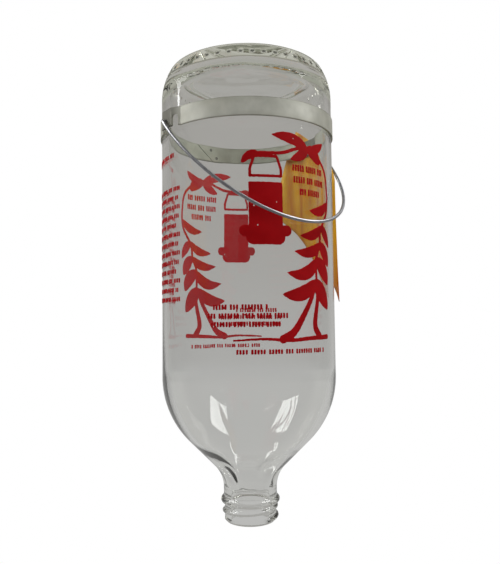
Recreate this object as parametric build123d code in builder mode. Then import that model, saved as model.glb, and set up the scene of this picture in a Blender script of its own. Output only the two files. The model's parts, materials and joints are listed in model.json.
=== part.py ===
"""Hanging feeder bottle: an inverted glass bottle, its steel band, wire bail, card tag and fired-on print.

Frame: origin at the centre of the mouth's rim, +Z up towards the bottle's base, X along the bail's
pivots, front towards -Y. Millimetres. An azimuth is measured from the front (-Y), positive towards +X.
"""

import os
from math import asin, atan2, cos, degrees, hypot, radians, sin

from build123d import *

os.makedirs("parts", exist_ok=True)

# Bottle body and shoulder
BODY_R = 45.0
HEIGHT = 235.5
WALL = 2.8
SHOULDER_Z = 74.1  # where the straight body ends and the shoulder begins
SHOULDER_R = 46.0
SHOULDER_TURN = 45.0  # degrees from the body's wall to the cone
NECK_BLEND_R = 16.7
INNER_SHOULDER_Z = 79.0  # the glass thickens below this height, so the inside has its own shoulder
INNER_SHOULDER_R = 54.0
INNER_SHOULDER_TURN = 47.0
INNER_BLEND_R = 20.0

# Heel and base
HEEL_SOFT_R = 30.0
HEEL_SOFT_TURN = 30.0
HEEL_TIGHT_R = 5.0
LAND_WIDTH = 3.4  # flat ring that the bottle stands on when it is filled
PUSH_UP_R = 6.0
PUSH_UP_TURN = 24.0
PUSH_UP_SLOPE = 0.6
DOME_TURN = 6.0
INNER_HEEL_R = 13.0
BASE_GLASS = 6.5  # glass between the standing plane and the highest point of the cavity
INNER_RING_R = 10.0
INNER_RING_TURN = 16.0
DIMPLE_COUNT = 48  # dimples round the heel
DIMPLE_TURN = 23.0  # how far round the soft heel they sit
DIMPLE_R = 1.6
DIMPLE_DEPTH = 0.4

# Neck finish
BORE_R = 10.0
NECK_R = 13.65
LIP_R = 12.65
LIP_ROUND = 0.9
BEAD_R = 15.1
BEAD_TUBE_R = 1.9
BEAD_Z = 11.1
THREAD_CREST_R = 13.85
THREAD_TUBE_R = 1.2
THREAD_PITCH = 5.08
THREAD_START = -95.0  # polar angle of the thread's low end
THREAD_SWEEP = 440.0
THREAD_START_Z = 2.1
THREAD_FADE = 45.0  # degrees over which each end sinks into the neck
THREAD_SINK = 1.45
THREAD_SPANS = 40

# Band
BAND_GAP = 0.08
BAND_T = 0.6
BAND_BOTTOM = 197.5
BAND_TOP = 206.6
EAR_HALF = 4.5  # half the flat of each pressed-out ear
EAR_FOOT = 9.0
EAR_POCKET = 2.3  # gap from the glass to the ear's inner face
EAR_HOLE_R = 0.9
EAR_ROUND = 1.6
EAR_SLOT_Y = 6.6  # relief slots in the ear's slopes, open at the band's lower edge
EAR_SLOT_W = 2.8
EAR_SLOT_TOP = 203.2
SEAM_AZIMUTH = 181.6
SEAM_LEAN = 49.0
SEAM_GAP = 0.45
LAP_START = 166.0
LAP_END = 196.0
JOGGLE_START = 193.0
LAP_CLEARANCE = 0.03
RIVETS = ((171.5, 199.9), (176.5, 204.3))  # azimuth, height
RIVET_R = 0.9
RIVET_HEAD_R = 1.7
RIVET_HEAD_H = 0.55
RIVET_HEAD_TAPER = 40.0
RIVET_PLAY = 0.02

# Bail
WIRE_R = 0.8
PIVOT_Z = 201.0
ARM_X = 50.0
BAIL_DROP = 73.6  # from the pivot to the middle of the arch
BAIL_ANGLE = 44.0  # swung forward from hanging straight down
BEND_R = 1.4
TAIL_LENGTH = 3.2

# Tag
TAG_BEND_R = 48.0
TAG_T = 0.4
TAG_GAP = 0.35  # between the ear and the tag
TAG_HOLE_R = 0.9
TAG_TOP = (13.0, 214.5)  # places on the tag: along its width from the pivot, and height
TAG_BACK_EDGE = (21.5, 191.0)
TAG_BACK_CORNER = (26.5, 165.5)
TAG_LOWER_EDGE = (2.0, 139.8)
TAG_TIP = (-26.5, 112.0)
TAG_FRONT_EDGE = (-22.5, 146.0)
TAG_FRONT_CORNER = (-20.5, 179.0)
TAG_UPPER_EDGE = (-7.5, 197.5)
TAG_MARGIN = 5.0  # how far the curved sheet runs past the outline before it is cut

# Print: places are (distance round the glass from the panel's middle, height)
PRINT_GAP = 0.05
PRINT_T = 0.1
PRINT_ROOT_R = 36.0  # the artwork's prisms start inside the glass and are cut to the thin print layer
PRINT_REACH = 10.0
FRONT_AZIMUTH = -9.6
BACK_AZIMUTH = 168.4
SIDE_AZIMUTH = -109.0
STEM_W = 1.8
STEM = (
    (17.5, 119), (17.2, 131), (20.5, 139), (21.5, 146), (28, 156), (28.5, 167), (25, 177), (12, 184.5),
    (-3, 180.5), (-15, 179.7), (-21, 176),
)
LEFT_LEG = ((16, 120), (13.9, 113.5), (7.9, 103.9), (2.6, 96.8), (-3, 93.6))
RIGHT_LEG = ((18.5, 120), (17.7, 111), (15.8, 100), (19, 94.6))
GROUND = ((-26, 93.2), (-12, 93.8), (0.5, 93), (11.6, 93.7), (25.9, 94.2))
LEAVES = (  # base, tip, width, bow (how far its middle lies above the straight line from base to tip)
    ((16, 121), (-3, 114.2), 7.0, -2.7),
    ((16, 121), (27, 107.6), 8.4, 0.4),
    ((17.2, 131.2), (-0.5, 124.3), 6.4, -3.4),
    ((17.2, 131.2), (27.5, 119.5), 7.4, 1.2),
    ((20.5, 139.2), (3.7, 134.5), 5.4, -2.2),
    ((20.5, 139.2), (28.3, 128.5), 6.4, 0.8),
    ((22, 148), (7.1, 142.1), 5.0, -2.0),
    ((22, 148), (29.5, 138), 5.0, 0.5),
    ((28, 160), (13, 154.5), 5.0, -2.0),
    ((12, 184.5), (-7.4, 189), 5.5, 1.0),
    ((12, 184.5), (2, 178), 5.0, -1.0),
    ((12, 184.5), (21, 178), 6.5, 1.0),
    ((14, 184.5), (24.3, 189), 4.5, -1.0),
    ((-14, 180), (-22, 175.5), 4.0, 1.0),
)
LINES = (  # plain bars where the lines of small print stand: start, end, height, thickness
    (-36, -10, 108.5, 2.5),
    (-38.6, -0.5, 104.5, 2.5),
    (-37, -4, 100.6, 2.5),
    (-25, 23, 88.0, 2.2),
    (3, 23, 174.2, 3.2),
    (3.5, 24, 168.6, 3.2),
    (7, 21, 163.0, 3.2),
)
JAR_U = -10.6
JAR_HALF = 8.1
JAR_MOUTH_HALF = 6.0
JAR_BOTTOM = 139.0
JAR_FILL_TOP = 166.4
JAR_OUTLINE_BOTTOM = 168.6
JAR_SHOULDER = 172.5
JAR_TOP = 179.2
JAR_LINE_W = 1.3
DISH_HALF = 12.6
DISH_BOTTOM = 141.2
DISH_TOP = 146.3
BOWL_HALF = 9.3
BOWL_BOTTOM = 137.2
BOWL_CORNER = 3.5
SIDE_ROWS = 13
SIDE_PITCH = 4.5
SIDE_BOTTOM = 113.0
SIDE_BAR = (48.0, 2.2)  # length, thickness
SIDE_STAGGER = (0, 3, 1.5, 5, 2)  # how much shorter each end is, row by row
SIDE_HEADER = (36.0, 184.0)  # length, height

band_inner_r = BODY_R + BAND_GAP
ear_inner_x = BODY_R + EAR_POCKET
ear_outer_x = ear_inner_x + BAND_T


def spot(azimuth, r, z=0.0):
    """Point at an azimuth from the front, a radius and a height."""
    return (r * sin(radians(azimuth)), -r * cos(radians(azimuth)), z)


def facing(azimuth, r, z):
    """Plane that looks outwards at an azimuth, with its x along increasing azimuth and its y up."""
    outwards = spot(azimuth, 1.0)
    return Plane(origin=spot(azimuth, r, z), x_dir=(-outwards[1], outwards[0], 0), z_dir=outwards)


# ---------------------------------------------------------------- glass bottle
def shoulder(body_r, neck_r, crown_z, crown_r, turn, blend_r):
    """Draws crown, cone and neck blend, all tangent, and returns the point where the neck begins."""
    angle = radians(turn)
    cone = (body_r - neck_r - (crown_r + blend_r) * (1 - cos(angle))) / sin(angle)
    crown = JernArc((body_r, crown_z), (0, -1), crown_r, -turn)
    slope = Line(crown @ 1, (crown @ 1) + (crown % 1) * cone)
    blend = JernArc(slope @ 1, slope % 1, blend_r, turn)
    return blend @ 1


def dome(start, tangent):
    """Draws the shallow dome that closes a base on the axis, and returns its centre point."""
    reach = start.X / sin(radians(DOME_TURN))
    arc = JernArc(start, tangent, reach, -DOME_TURN)
    return arc @ 1


with BuildPart() as bottle:
    with BuildSketch(Plane.XZ):
        with BuildLine():
            neck_top = shoulder(BODY_R, NECK_R, SHOULDER_Z, SHOULDER_R, SHOULDER_TURN, NECK_BLEND_R)
            Polyline(neck_top, (NECK_R, BEAD_Z), (LIP_R, BEAD_Z), (LIP_R, 0), (0, 0))
            heel_rise = HEEL_SOFT_R * sin(radians(HEEL_SOFT_TURN))
            heel_rise += HEEL_TIGHT_R * (1 - sin(radians(HEEL_SOFT_TURN)))
            wall = Line((BODY_R, SHOULDER_Z), (BODY_R, HEIGHT - heel_rise))
            soft = JernArc(wall @ 1, (0, 1), HEEL_SOFT_R, HEEL_SOFT_TURN)
            tight = JernArc(soft @ 1, soft % 1, HEEL_TIGHT_R, 90 - HEEL_SOFT_TURN)
            land = Line(tight @ 1, (tight @ 1) - (LAND_WIDTH, 0))
            rim = JernArc(land @ 1, (-1, 0), PUSH_UP_R, PUSH_UP_TURN)
            ramp = Line(rim @ 1, (rim @ 1) + (rim % 1) * PUSH_UP_SLOPE)
            foot = JernArc(ramp @ 1, ramp % 1, PUSH_UP_R, DOME_TURN - PUSH_UP_TURN)
            centre = dome(foot @ 1, foot % 1)
            Line(centre, (0, 0))
        make_face()
        with Locations((BEAD_R - BEAD_TUBE_R, BEAD_Z)):
            Circle(BEAD_TUBE_R)
        with BuildLine():
            inner_shape = (INNER_SHOULDER_Z, INNER_SHOULDER_R, INNER_SHOULDER_TURN, INNER_BLEND_R)
            bore_top = shoulder(BODY_R - WALL, BORE_R, *inner_shape)
            Polyline(bore_top, (BORE_R, 0), (0, 0))
            inner_top = HEIGHT - BASE_GLASS
            inner_wall = Line((BODY_R - WALL, INNER_SHOULDER_Z), (BODY_R - WALL, inner_top - INNER_HEEL_R))
            inner_heel = JernArc(inner_wall @ 1, (0, 1), INNER_HEEL_R, 90)
            over = JernArc(inner_heel @ 1, (-1, 0), INNER_RING_R, INNER_RING_TURN)
            back = JernArc(over @ 1, over % 1, INNER_RING_R, DOME_TURN - INNER_RING_TURN)
            inner_centre = dome(back @ 1, back % 1)
            Line(inner_centre, (0, 0))
        make_face(mode=Mode.SUBTRACT)
    revolve(axis=Axis.Z)
    fillet(bottle.edges().group_by(Axis.Z)[0], LIP_ROUND)
    dimple_reach = HEEL_SOFT_R + DIMPLE_R - DIMPLE_DEPTH
    dimple_r = BODY_R - HEEL_SOFT_R + dimple_reach * cos(radians(DIMPLE_TURN))
    dimple_z = HEIGHT - heel_rise + dimple_reach * sin(radians(DIMPLE_TURN))
    with Locations((0, 0, dimple_z)):
        with PolarLocations(dimple_r, DIMPLE_COUNT):
            Sphere(DIMPLE_R, mode=Mode.SUBTRACT)


def thread_point(angle):
    """Middle of the thread's ridge at an angle from its low end; both ends sink into the neck."""
    fade = min(angle, THREAD_SWEEP - angle, THREAD_FADE) / THREAD_FADE
    r = THREAD_CREST_R - THREAD_TUBE_R - THREAD_SINK * (1 - fade) ** 2
    turned = radians(THREAD_START + angle)
    return (r * cos(turned), r * sin(turned), THREAD_START_Z + THREAD_PITCH * angle / 360)


with BuildPart() as thread:
    with BuildLine() as thread_path:
        Spline([thread_point(THREAD_SWEEP * i / THREAD_SPANS) for i in range(THREAD_SPANS + 1)])
    with BuildSketch(Plane(origin=thread_path.line @ 0, z_dir=thread_path.line % 0)):
        Circle(THREAD_TUBE_R)
    sweep()
with bottle:
    add(thread.part)

# ---------------------------------------------------------------- hanger band
band_height = BAND_TOP - BAND_BOTTOM
with BuildSketch() as band_inside:
    Circle(band_inner_r)
    foot_x = band_inner_r * cos(asin(EAR_FOOT / band_inner_r))
    ear = [(ear_inner_x, EAR_HALF), (foot_x, EAR_FOOT), (foot_x, -EAR_FOOT), (ear_inner_x, -EAR_HALF)]
    for side in (1, -1):
        with BuildLine():
            Polyline([(side * x, y) for x, y in ear], close=True)
        make_face()
    corners = band_inside.vertices().filter_by(lambda v: abs(v.X) > foot_x - EAR_ROUND)
    ear_corners = corners.filter_by(lambda v: abs(v.Y) > EAR_HALF / 2)
    fillet(ear_corners, EAR_ROUND)


def sector(start, end, inner_r, outer_r):
    """Part of a ring between two azimuths, added to the sketch in progress."""
    with BuildSketch(mode=Mode.PRIVATE) as piece:
        Circle(outer_r)
        Circle(inner_r, mode=Mode.SUBTRACT)
        middle = (start + end) / 2
        reach = 2 * outer_r
        with BuildLine():
            Polyline((0, 0), spot(start, reach)[:2], spot(middle, reach)[:2], spot(end, reach)[:2], close=True)
        make_face(mode=Mode.INTERSECT)
    add(piece.sketch)


with BuildPart() as band:
    lap_inner_r = band_inner_r + BAND_T + LAP_CLEARANCE
    lap_outer_r = lap_inner_r + BAND_T
    with BuildSketch(Plane.XY.offset(BAND_BOTTOM)):
        add(band_inside.sketch)
        offset(amount=BAND_T)
        add(band_inside.sketch, mode=Mode.SUBTRACT)
    extrude(amount=band_height)
    seam = facing(SEAM_AZIMUTH, band_inner_r, (BAND_BOTTOM + BAND_TOP) / 2)
    with BuildSketch(seam.offset(-BAND_T)) as slit:
        Rectangle(SEAM_GAP, 3 * band_height, rotation=-SEAM_LEAN)
    extrude(amount=3 * BAND_T, mode=Mode.SUBTRACT)
    with BuildSketch(Plane.XY.offset(BAND_BOTTOM)):
        sector(LAP_START, LAP_END, lap_inner_r, lap_outer_r)
        sector(JOGGLE_START, LAP_END, band_inner_r + BAND_T / 2, lap_outer_r)
    extrude(amount=band_height)
    with Locations((0, 0, PIVOT_Z)):
        Cylinder(EAR_HOLE_R, 4 * BODY_R, rotation=(0, 90, 0), mode=Mode.SUBTRACT)
    with BuildSketch(Plane.YZ) as slots:
        with Locations((EAR_SLOT_Y, BAND_BOTTOM), (-EAR_SLOT_Y, BAND_BOTTOM)):
            SlotOverall(2 * (EAR_SLOT_TOP - BAND_BOTTOM), EAR_SLOT_W, rotation=90)
    extrude(amount=2 * BODY_R, both=True, mode=Mode.SUBTRACT)
    for azimuth, z in RIVETS:
        with BuildSketch(facing(azimuth, BODY_R, z)):
            Circle(RIVET_R)
        extrude(amount=4 * BAND_T, mode=Mode.SUBTRACT)

with BuildPart() as rivets:
    for azimuth, z in RIVETS:
        with BuildSketch(facing(azimuth, band_inner_r + RIVET_PLAY, z)):
            Circle(RIVET_R - RIVET_PLAY)
        extrude(amount=2 * BAND_T + LAP_CLEARANCE + RIVET_HEAD_H / 2)
        with BuildSketch(facing(azimuth, lap_outer_r + RIVET_PLAY, z)) as head:
            Circle(RIVET_HEAD_R)
        extrude(amount=RIVET_HEAD_H, taper=RIVET_HEAD_TAPER)

# ---------------------------------------------------------------- wire bail
swung = radians(BAIL_ANGLE)
bail_plane = Plane(origin=(0, 0, PIVOT_Z), x_dir=(1, 0, 0), z_dir=(0, cos(swung), -sin(swung)))
tail_x = BODY_R + EAR_POCKET / 2
with BuildPart() as bail:
    with BuildLine(bail_plane) as bail_path:
        Line((tail_x, TAIL_LENGTH), (tail_x, BEND_R))
        CenterArc((tail_x + BEND_R, BEND_R), BEND_R, 180, 90)
        Line((tail_x + BEND_R, 0), (ARM_X - BEND_R, 0))
        CenterArc((ARM_X - BEND_R, BEND_R), BEND_R, 270, 90)
        mirror(about=Plane.YZ)
        EllipticalCenterArc((0, BEND_R), ARM_X, BAIL_DROP - BEND_R, 0, arc_size=180)
    tail_end = bail_plane.from_local_coords((tail_x, TAIL_LENGTH, 0))
    with BuildSketch(Plane(origin=tail_end, z_dir=bail_plane.y_dir)):
        Circle(WIRE_R)
    sweep(path=bail_path.wire())

# ---------------------------------------------------------------- hang tag
tag_inner_x = ear_outer_x + TAG_GAP
with BuildPart() as tag:
    with BuildSketch(Plane.XY.offset(TAG_TIP[1] - TAG_MARGIN)):
        with Locations((tag_inner_x - TAG_BEND_R, 0)):
            Circle(TAG_BEND_R + TAG_T)
            Circle(TAG_BEND_R, mode=Mode.SUBTRACT)
    extrude(amount=TAG_TOP[1] - TAG_TIP[1] + 2 * TAG_MARGIN)
    with BuildSketch(Plane.YZ.offset(BODY_R / 2)):
        with BuildLine():
            ThreePointArc(TAG_TOP, TAG_BACK_EDGE, TAG_BACK_CORNER)
            ThreePointArc(TAG_BACK_CORNER, TAG_LOWER_EDGE, TAG_TIP)
            ThreePointArc(TAG_TIP, TAG_FRONT_EDGE, TAG_FRONT_CORNER)
            ThreePointArc(TAG_FRONT_CORNER, TAG_UPPER_EDGE, TAG_TOP)
        make_face()
        with Locations((0, PIVOT_Z)):
            Circle(TAG_HOLE_R, mode=Mode.SUBTRACT)
    extrude(amount=BODY_R, mode=Mode.INTERSECT)

# ---------------------------------------------------------------- fired-on print
def print_layer():
    """Cuts the artwork in progress down to a thin layer that lies on the glass."""
    with BuildSketch(Plane.XY.offset(SHOULDER_Z)) as layer:
        Circle(BODY_R + PRINT_GAP + PRINT_T)
        Circle(BODY_R + PRINT_GAP, mode=Mode.SUBTRACT)
    extrude(layer.sketch, amount=BAND_BOTTOM - SHOULDER_Z, mode=Mode.INTERSECT)


def on_glass(panel, u, z):
    """Plane behind the glass, facing out, at a distance round the glass from a panel's middle."""
    return facing(panel + degrees(u / BODY_R), PRINT_ROOT_R, z)


def halfway(start, end):
    """Place halfway between two places of the artwork, and half the step from one to the other."""
    half_step = ((end[0] - start[0]) / 2, (end[1] - start[1]) / 2)
    return (start[0] + half_step[0], start[1] + half_step[1]), half_step


def leaf(panel, base, tip, width, bow):
    """A pointed leaf between two arcs."""
    middle, (du, dz) = halfway(base, tip)
    half_length = hypot(du, dz)
    up = (-dz / half_length, du / half_length) if du > 0 else (dz / half_length, -du / half_length)
    upper, lower = bow + width / 2, bow - width / 2
    with BuildSketch(on_glass(panel, *middle)) as outline:
        with BuildLine():
            ThreePointArc((-du, -dz), (up[0] * upper, up[1] * upper), (du, dz))
            ThreePointArc((du, dz), (up[0] * lower, up[1] * lower), (-du, -dz))
        make_face()
    extrude(outline.sketch, amount=PRINT_REACH)


def stem(panel, places):
    """A stem of even width through the given places, with round joints."""
    for start, end in zip(places, places[1:]):
        middle, (du, dz) = halfway(start, end)
        with BuildSketch(on_glass(panel, *middle)) as outline:
            SlotOverall(2 * hypot(du, dz) + STEM_W, STEM_W, rotation=degrees(atan2(dz, du)))
        extrude(outline.sketch, amount=PRINT_REACH)


def jar(panel):
    """A plain jar on a shallow dish: solid up to its fill line, outlined above it."""
    with BuildSketch(on_glass(panel, JAR_U, 0)) as outline:
        with BuildLine():
            bottom = [(-JAR_HALF, JAR_OUTLINE_BOTTOM), (JAR_HALF, JAR_OUTLINE_BOTTOM)]
            shoulders = [(JAR_HALF, JAR_SHOULDER), (JAR_MOUTH_HALF, JAR_TOP)]
            Polyline(bottom + shoulders + [(-x, z) for x, z in reversed(shoulders)], close=True)
        make_face()
        offset(amount=-JAR_LINE_W, mode=Mode.SUBTRACT)
        with Locations((0, (JAR_BOTTOM + JAR_FILL_TOP) / 2)):
            Rectangle(2 * JAR_HALF, JAR_FILL_TOP - JAR_BOTTOM)
        with Locations((0, (DISH_BOTTOM + DISH_TOP) / 2)):
            SlotOverall(2 * DISH_HALF, DISH_TOP - DISH_BOTTOM)
        with Locations((0, (BOWL_BOTTOM + DISH_TOP) / 2)):
            RectangleRounded(2 * BOWL_HALF, DISH_TOP - BOWL_BOTTOM, BOWL_CORNER)
    extrude(outline.sketch, amount=PRINT_REACH)


def bar(panel, start, end, z, thickness):
    """A plain bar with round ends."""
    with BuildSketch(on_glass(panel, (start + end) / 2, z)) as outline:
        SlotOverall(end - start, thickness)
    extrude(outline.sketch, amount=PRINT_REACH)


def panel_art(panel):
    """The artwork of a whole panel: a leafy stem, a jar on a dish and plain bars."""
    for places in (STEM, LEFT_LEG, RIGHT_LEG, GROUND):
        stem(panel, places)
    for each in LEAVES:
        leaf(panel, *each)
    jar(panel)
    for line in LINES:
        bar(panel, *line)
    print_layer()


with BuildPart() as front_print:
    panel_art(FRONT_AZIMUTH)

with BuildPart() as back_print:
    panel_art(BACK_AZIMUTH)

with BuildPart() as side_print:
    for row in range(SIDE_ROWS):
        half = SIDE_BAR[0] / 2 - SIDE_STAGGER[row % len(SIDE_STAGGER)]
        bar(SIDE_AZIMUTH, -half, half, SIDE_BOTTOM + row * SIDE_PITCH, SIDE_BAR[1])
    bar(SIDE_AZIMUTH, -SIDE_HEADER[0] / 2, SIDE_HEADER[0] / 2, SIDE_HEADER[1], SIDE_BAR[1])
    print_layer()

for part, name in (
    (front_print, "front_print"),
    (back_print, "back_print"),
    (side_print, "side_print"),
    (bottle, "glass_bottle"),
    (band, "hanger_band"),
    (rivets, "band_rivets"),
    (bail, "wire_bail"),
    (tag, "hang_tag"),
):
    part.part.label = name
    export_step(part.part, f"parts/{name}.step")
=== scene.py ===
"""Looks of the hanging glass feeder bottle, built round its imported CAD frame.

Lengths are millimetres until they reach a mesh, which is in metres. An azimuth is measured from the
front (-Y), positive towards +X. Artwork places are (distance round the glass from a panel's middle, height).
"""

import json
from math import atan2, cos, degrees, exp, hypot, pi, radians, sin, sqrt, tau

import bpy
import numpy as np
from mathutils import Matrix, Vector, noise
from mathutils.geometry import delaunay_2d_cdt

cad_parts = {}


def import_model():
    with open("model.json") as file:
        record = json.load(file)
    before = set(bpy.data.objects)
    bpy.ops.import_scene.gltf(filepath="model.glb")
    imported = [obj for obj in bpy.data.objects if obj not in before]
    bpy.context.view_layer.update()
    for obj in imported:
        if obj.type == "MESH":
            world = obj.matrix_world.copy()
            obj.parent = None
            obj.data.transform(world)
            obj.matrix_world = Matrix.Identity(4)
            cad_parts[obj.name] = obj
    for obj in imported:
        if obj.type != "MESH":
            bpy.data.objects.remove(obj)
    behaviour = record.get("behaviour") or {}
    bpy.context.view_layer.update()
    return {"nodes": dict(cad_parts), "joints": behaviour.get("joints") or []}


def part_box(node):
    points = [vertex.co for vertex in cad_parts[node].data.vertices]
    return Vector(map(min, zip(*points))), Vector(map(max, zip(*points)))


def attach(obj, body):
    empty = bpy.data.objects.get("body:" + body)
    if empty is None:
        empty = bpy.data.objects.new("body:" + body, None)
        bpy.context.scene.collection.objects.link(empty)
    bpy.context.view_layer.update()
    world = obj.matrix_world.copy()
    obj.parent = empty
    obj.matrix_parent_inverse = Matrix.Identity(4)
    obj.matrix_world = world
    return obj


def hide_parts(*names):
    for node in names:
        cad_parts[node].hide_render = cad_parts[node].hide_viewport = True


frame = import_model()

MM = 0.001
glass_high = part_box("glass_bottle")[1]
band_low, band_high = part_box("hanger_band")
wire_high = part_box("wire_bail")[1]
tag_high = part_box("hang_tag")[1]
joints = {joint["name"]: joint for joint in frame["joints"]}

BODY_R = glass_high[0] / MM
HEIGHT = glass_high[2] / MM
PIVOT_Z = joints["bail_swing"]["pos_m"][2] / MM
BAND_BOTTOM = band_low[2] / MM
BAND_TOP = band_high[2] / MM

# Bottle
WALL = 2.8
SHOULDER_Z = 74.1
SHOULDER_R = 46.0
SHOULDER_TURN = 45.0
NECK_BLEND_R = 16.7
HEEL_SOFT = (30.0, 30.0)  # radius, turn
HEEL_TIGHT = (5.0, 60.0)
LAND_WIDTH = 3.4
PUSH_UP = (6.0, 24.0)
PUSH_UP_SLOPE = 0.6
DOME_TURN = 6.0
INNER_SHOULDER_Z = 79.0
INNER_SHOULDER_R = 54.0
INNER_SHOULDER_TURN = 47.0
INNER_BLEND_R = 20.0
INNER_HEEL_R = 13.0
BASE_GLASS = 6.5
INNER_RING = (10.0, 16.0)
DIMPLES = 48
DIMPLE_TURN = 23.0  # how far round the soft heel their centres sit
DIMPLE_HALF = 1.15
DIMPLE_DEPTH = 0.5
DIMPLE_Z = 229.6  # height of the centres of their painted shade
# Share of painted shade, a dark see-through tint, at the dimples' centres, seen by the camera only
DIMPLE_DARK = 0.75
DIMPLE_BAND = (1.0, 0.4)  # off DIMPLE_Z: no painted shade beyond the first, full within the second
DIMPLE_ZONE = (10.0, 2.0)  # depths below the top between which the outside is searched for them
NECK_FLUTES = (17.0, 38.0)  # heights between which the inside of the neck is slightly fluted
FLUTE_DEPTH = 0.45
FLUTES = ((5, 1.0, 1.0), (9, 0.0, 0.6))  # count round the neck, phase, share of the depth
OVAL = 0.25  # how far the inside departs from round
OVAL_PHASE = 0.8
UNEVEN = 0.25  # how far the inside departs from even
UNEVEN_SCALE = 22.0
UNEVEN_STRETCH = 0.35  # below 1 the unevenness is drawn out along the height
EVEN_BELOW = 12.0  # the inside is even up to this height
EVEN_FADE = 30.0  # and reaches its full unevenness this much higher
EVEN_CENTRE = 20.0  # the unevenness dies away within this radius
BASE_UNEVEN = 0.35
BASE_UNEVEN_SCALE = 12.0
BASE_SLICE = 7.0  # height at which the noise for the base is read
BASE_REACH = 25.0  # the inside of the base is uneven in height over this much below the top
OUTSIDE_UNEVEN = 0.04
OUTSIDE_UNEVEN_SCALE = 9.0
OUTSIDE_STRETCH = 0.4
OUTSIDE_TOP = 20.0  # the outside is even over this much below the top
BORE_R = 10.0
NECK_R = 13.65
LIP_R = 12.65
LIP_ROUND = 0.9
BEAD_R = 15.1
BEAD_TUBE_R = 1.9
BEAD_Z = 11.1
LIP_SOFT = 0.5  # how gradually the lip widens into the neck
BEAD_SOFT = 0.25  # how softly the bead meets the neck
THREAD_HEIGHT = 1.2
THREAD_HALF_W = 1.25
THREAD_PITCH = 5.08
THREAD_START = -95.0
THREAD_SWEEP = 440.0
THREAD_START_Z = 2.1
THREAD_FADE = 45.0
THREAD_FULLNESS = 0.75  # below 1 the ridge is fuller than a parabola
LATHE_STEPS = 480

# Looks of glass, print and band
GLASS_IOR = 1.5
MOST_BOUNCES = 5.5  # a ray still inside the glass after so many bounces leaves it straight
HEEL_FADE = (212.0, 222.0)  # heights between which the heel stops mirroring the lamps
RELEASE_FADE = (88.0, 118.0)  # heights between which long-trapped rays begin to be released
RELEASE_BELOW = 0.1  # share of them released below
INNER_GLOW = 0.16  # painted light: emission that lifts the print's inner face, which is seen through two walls
EAR_DARK = (4.0, 9.5)  # painted shade over the pressed ears, darkest up to the first distance from the pivots' axis

# Bail
WIRE_R = 0.8
BEND_R = 1.4
TAIL_LENGTH = 3.2
EAR_POCKET = 2.3
BAIL_ANGLE = 44.0
ARM_X = wire_high[0] / MM - WIRE_R
BAIL_DROP = 73.6

# Tag: places on it are (along its width from the pivot, height)
TAG_BEND_R = 48.0
TAG_T = 0.4
TAG_HOLE_R = 0.9
TAG_OUTER_X = tag_high[0] / MM
TAG_ARCS = (
    ((13.0, 214.5), (21.5, 191.0), (26.5, 165.5)),
    ((26.5, 165.5), (2.0, 139.8), (-26.5, 112.0)),
    ((-26.5, 112.0), (-22.5, 146.0), (-20.5, 179.0)),
    ((-20.5, 179.0), (-7.5, 197.5), (13.0, 214.5)),
)
TAG_GRID = 2.5
TAG_FLAT_ABOVE = 185.0  # the sheet is flat against the ear above this height and warps below it
TAG_WARP = 0.5  # most that it moves inward
TAG_WARP_FADE = 60.0  # the warp grows over this much height
TAG_CUP = 0.6  # share of cupping across the width
TAG_CUP_HALF = 20.0
TAG_RIPPLE = 0.5  # share of ripples
TAG_RIPPLE_SCALE = 18.0
TAG_RIPPLE_SLICE = 4.0
TAG_LEAN = 0.4  # share of plain leaning inward
TAG_HOLE_SIDES = 28
TAG_EDGE_STEP = 1.2

# Print
PRINT_GAP = 0.05
PRINT_T = 0.1
FRONT_AZIMUTH = -9.6
BACK_AZIMUTH = 168.4
SIDE_AZIMUTH = -109.0
ART_STEP = 0.32  # side of the squares that the artwork is cut into
ART_MARGIN = 1.0
NO_INK = 10.0  # distance to ink before any is drawn
WEAR_REACH = 0.6  # only this near an edge, and inside the ink, is the print worn
WEAR = (0.16, 0.9)  # depth, fineness
SPECKS = (0.55, 0.80, 3.0)  # fineness, noise level above which a pinhole opens, steepness
SPECK_SHIFT = 9.0  # keeps the pinholes' noise apart from the edges'
PANEL_BOX = ((-40, 84), (35, 194))
SIDE_BOX = ((-26, 110), (26, 188))
FRONT_SEED = 1.0
BACK_SEED = 5.0
SIDE_SEED = 3.0
STEM = (
    (17.5, 119), (17.2, 131), (20.5, 139), (21.5, 146), (28, 156), (28.5, 167),
    (25, 177), (12, 184.5), (-3, 180.5), (-15, 179.7), (-21, 176),
)
LEFT_LEG = ((16, 120), (13.9, 113.5), (7.9, 103.9), (2.6, 96.8), (-3, 93.6))
RIGHT_LEG = ((18.5, 120), (17.7, 111), (15.8, 100), (19, 94.6))
GROUND = ((-26, 93.2), (-12, 93.8), (0.5, 93), (11.6, 93.7), (25.9, 94.2))
STROKES = (  # line, half width at its start, half width at its end
    (STEM, 0.8, 0.8),
    (LEFT_LEG, 1.0, 2.0),
    (RIGHT_LEG, 1.0, 1.8),
    (GROUND, 0.4, 1.2),
)
LEAF_BOWS = (0.3, 0.65)  # parts of a leaf's length between which it bows
LEAF_LEAD = 0.85  # below 1 the widest place is nearer the base
LEAF_FULLNESS = 0.75
LEAF_POINT = 0.15  # half width at both ends
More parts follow.
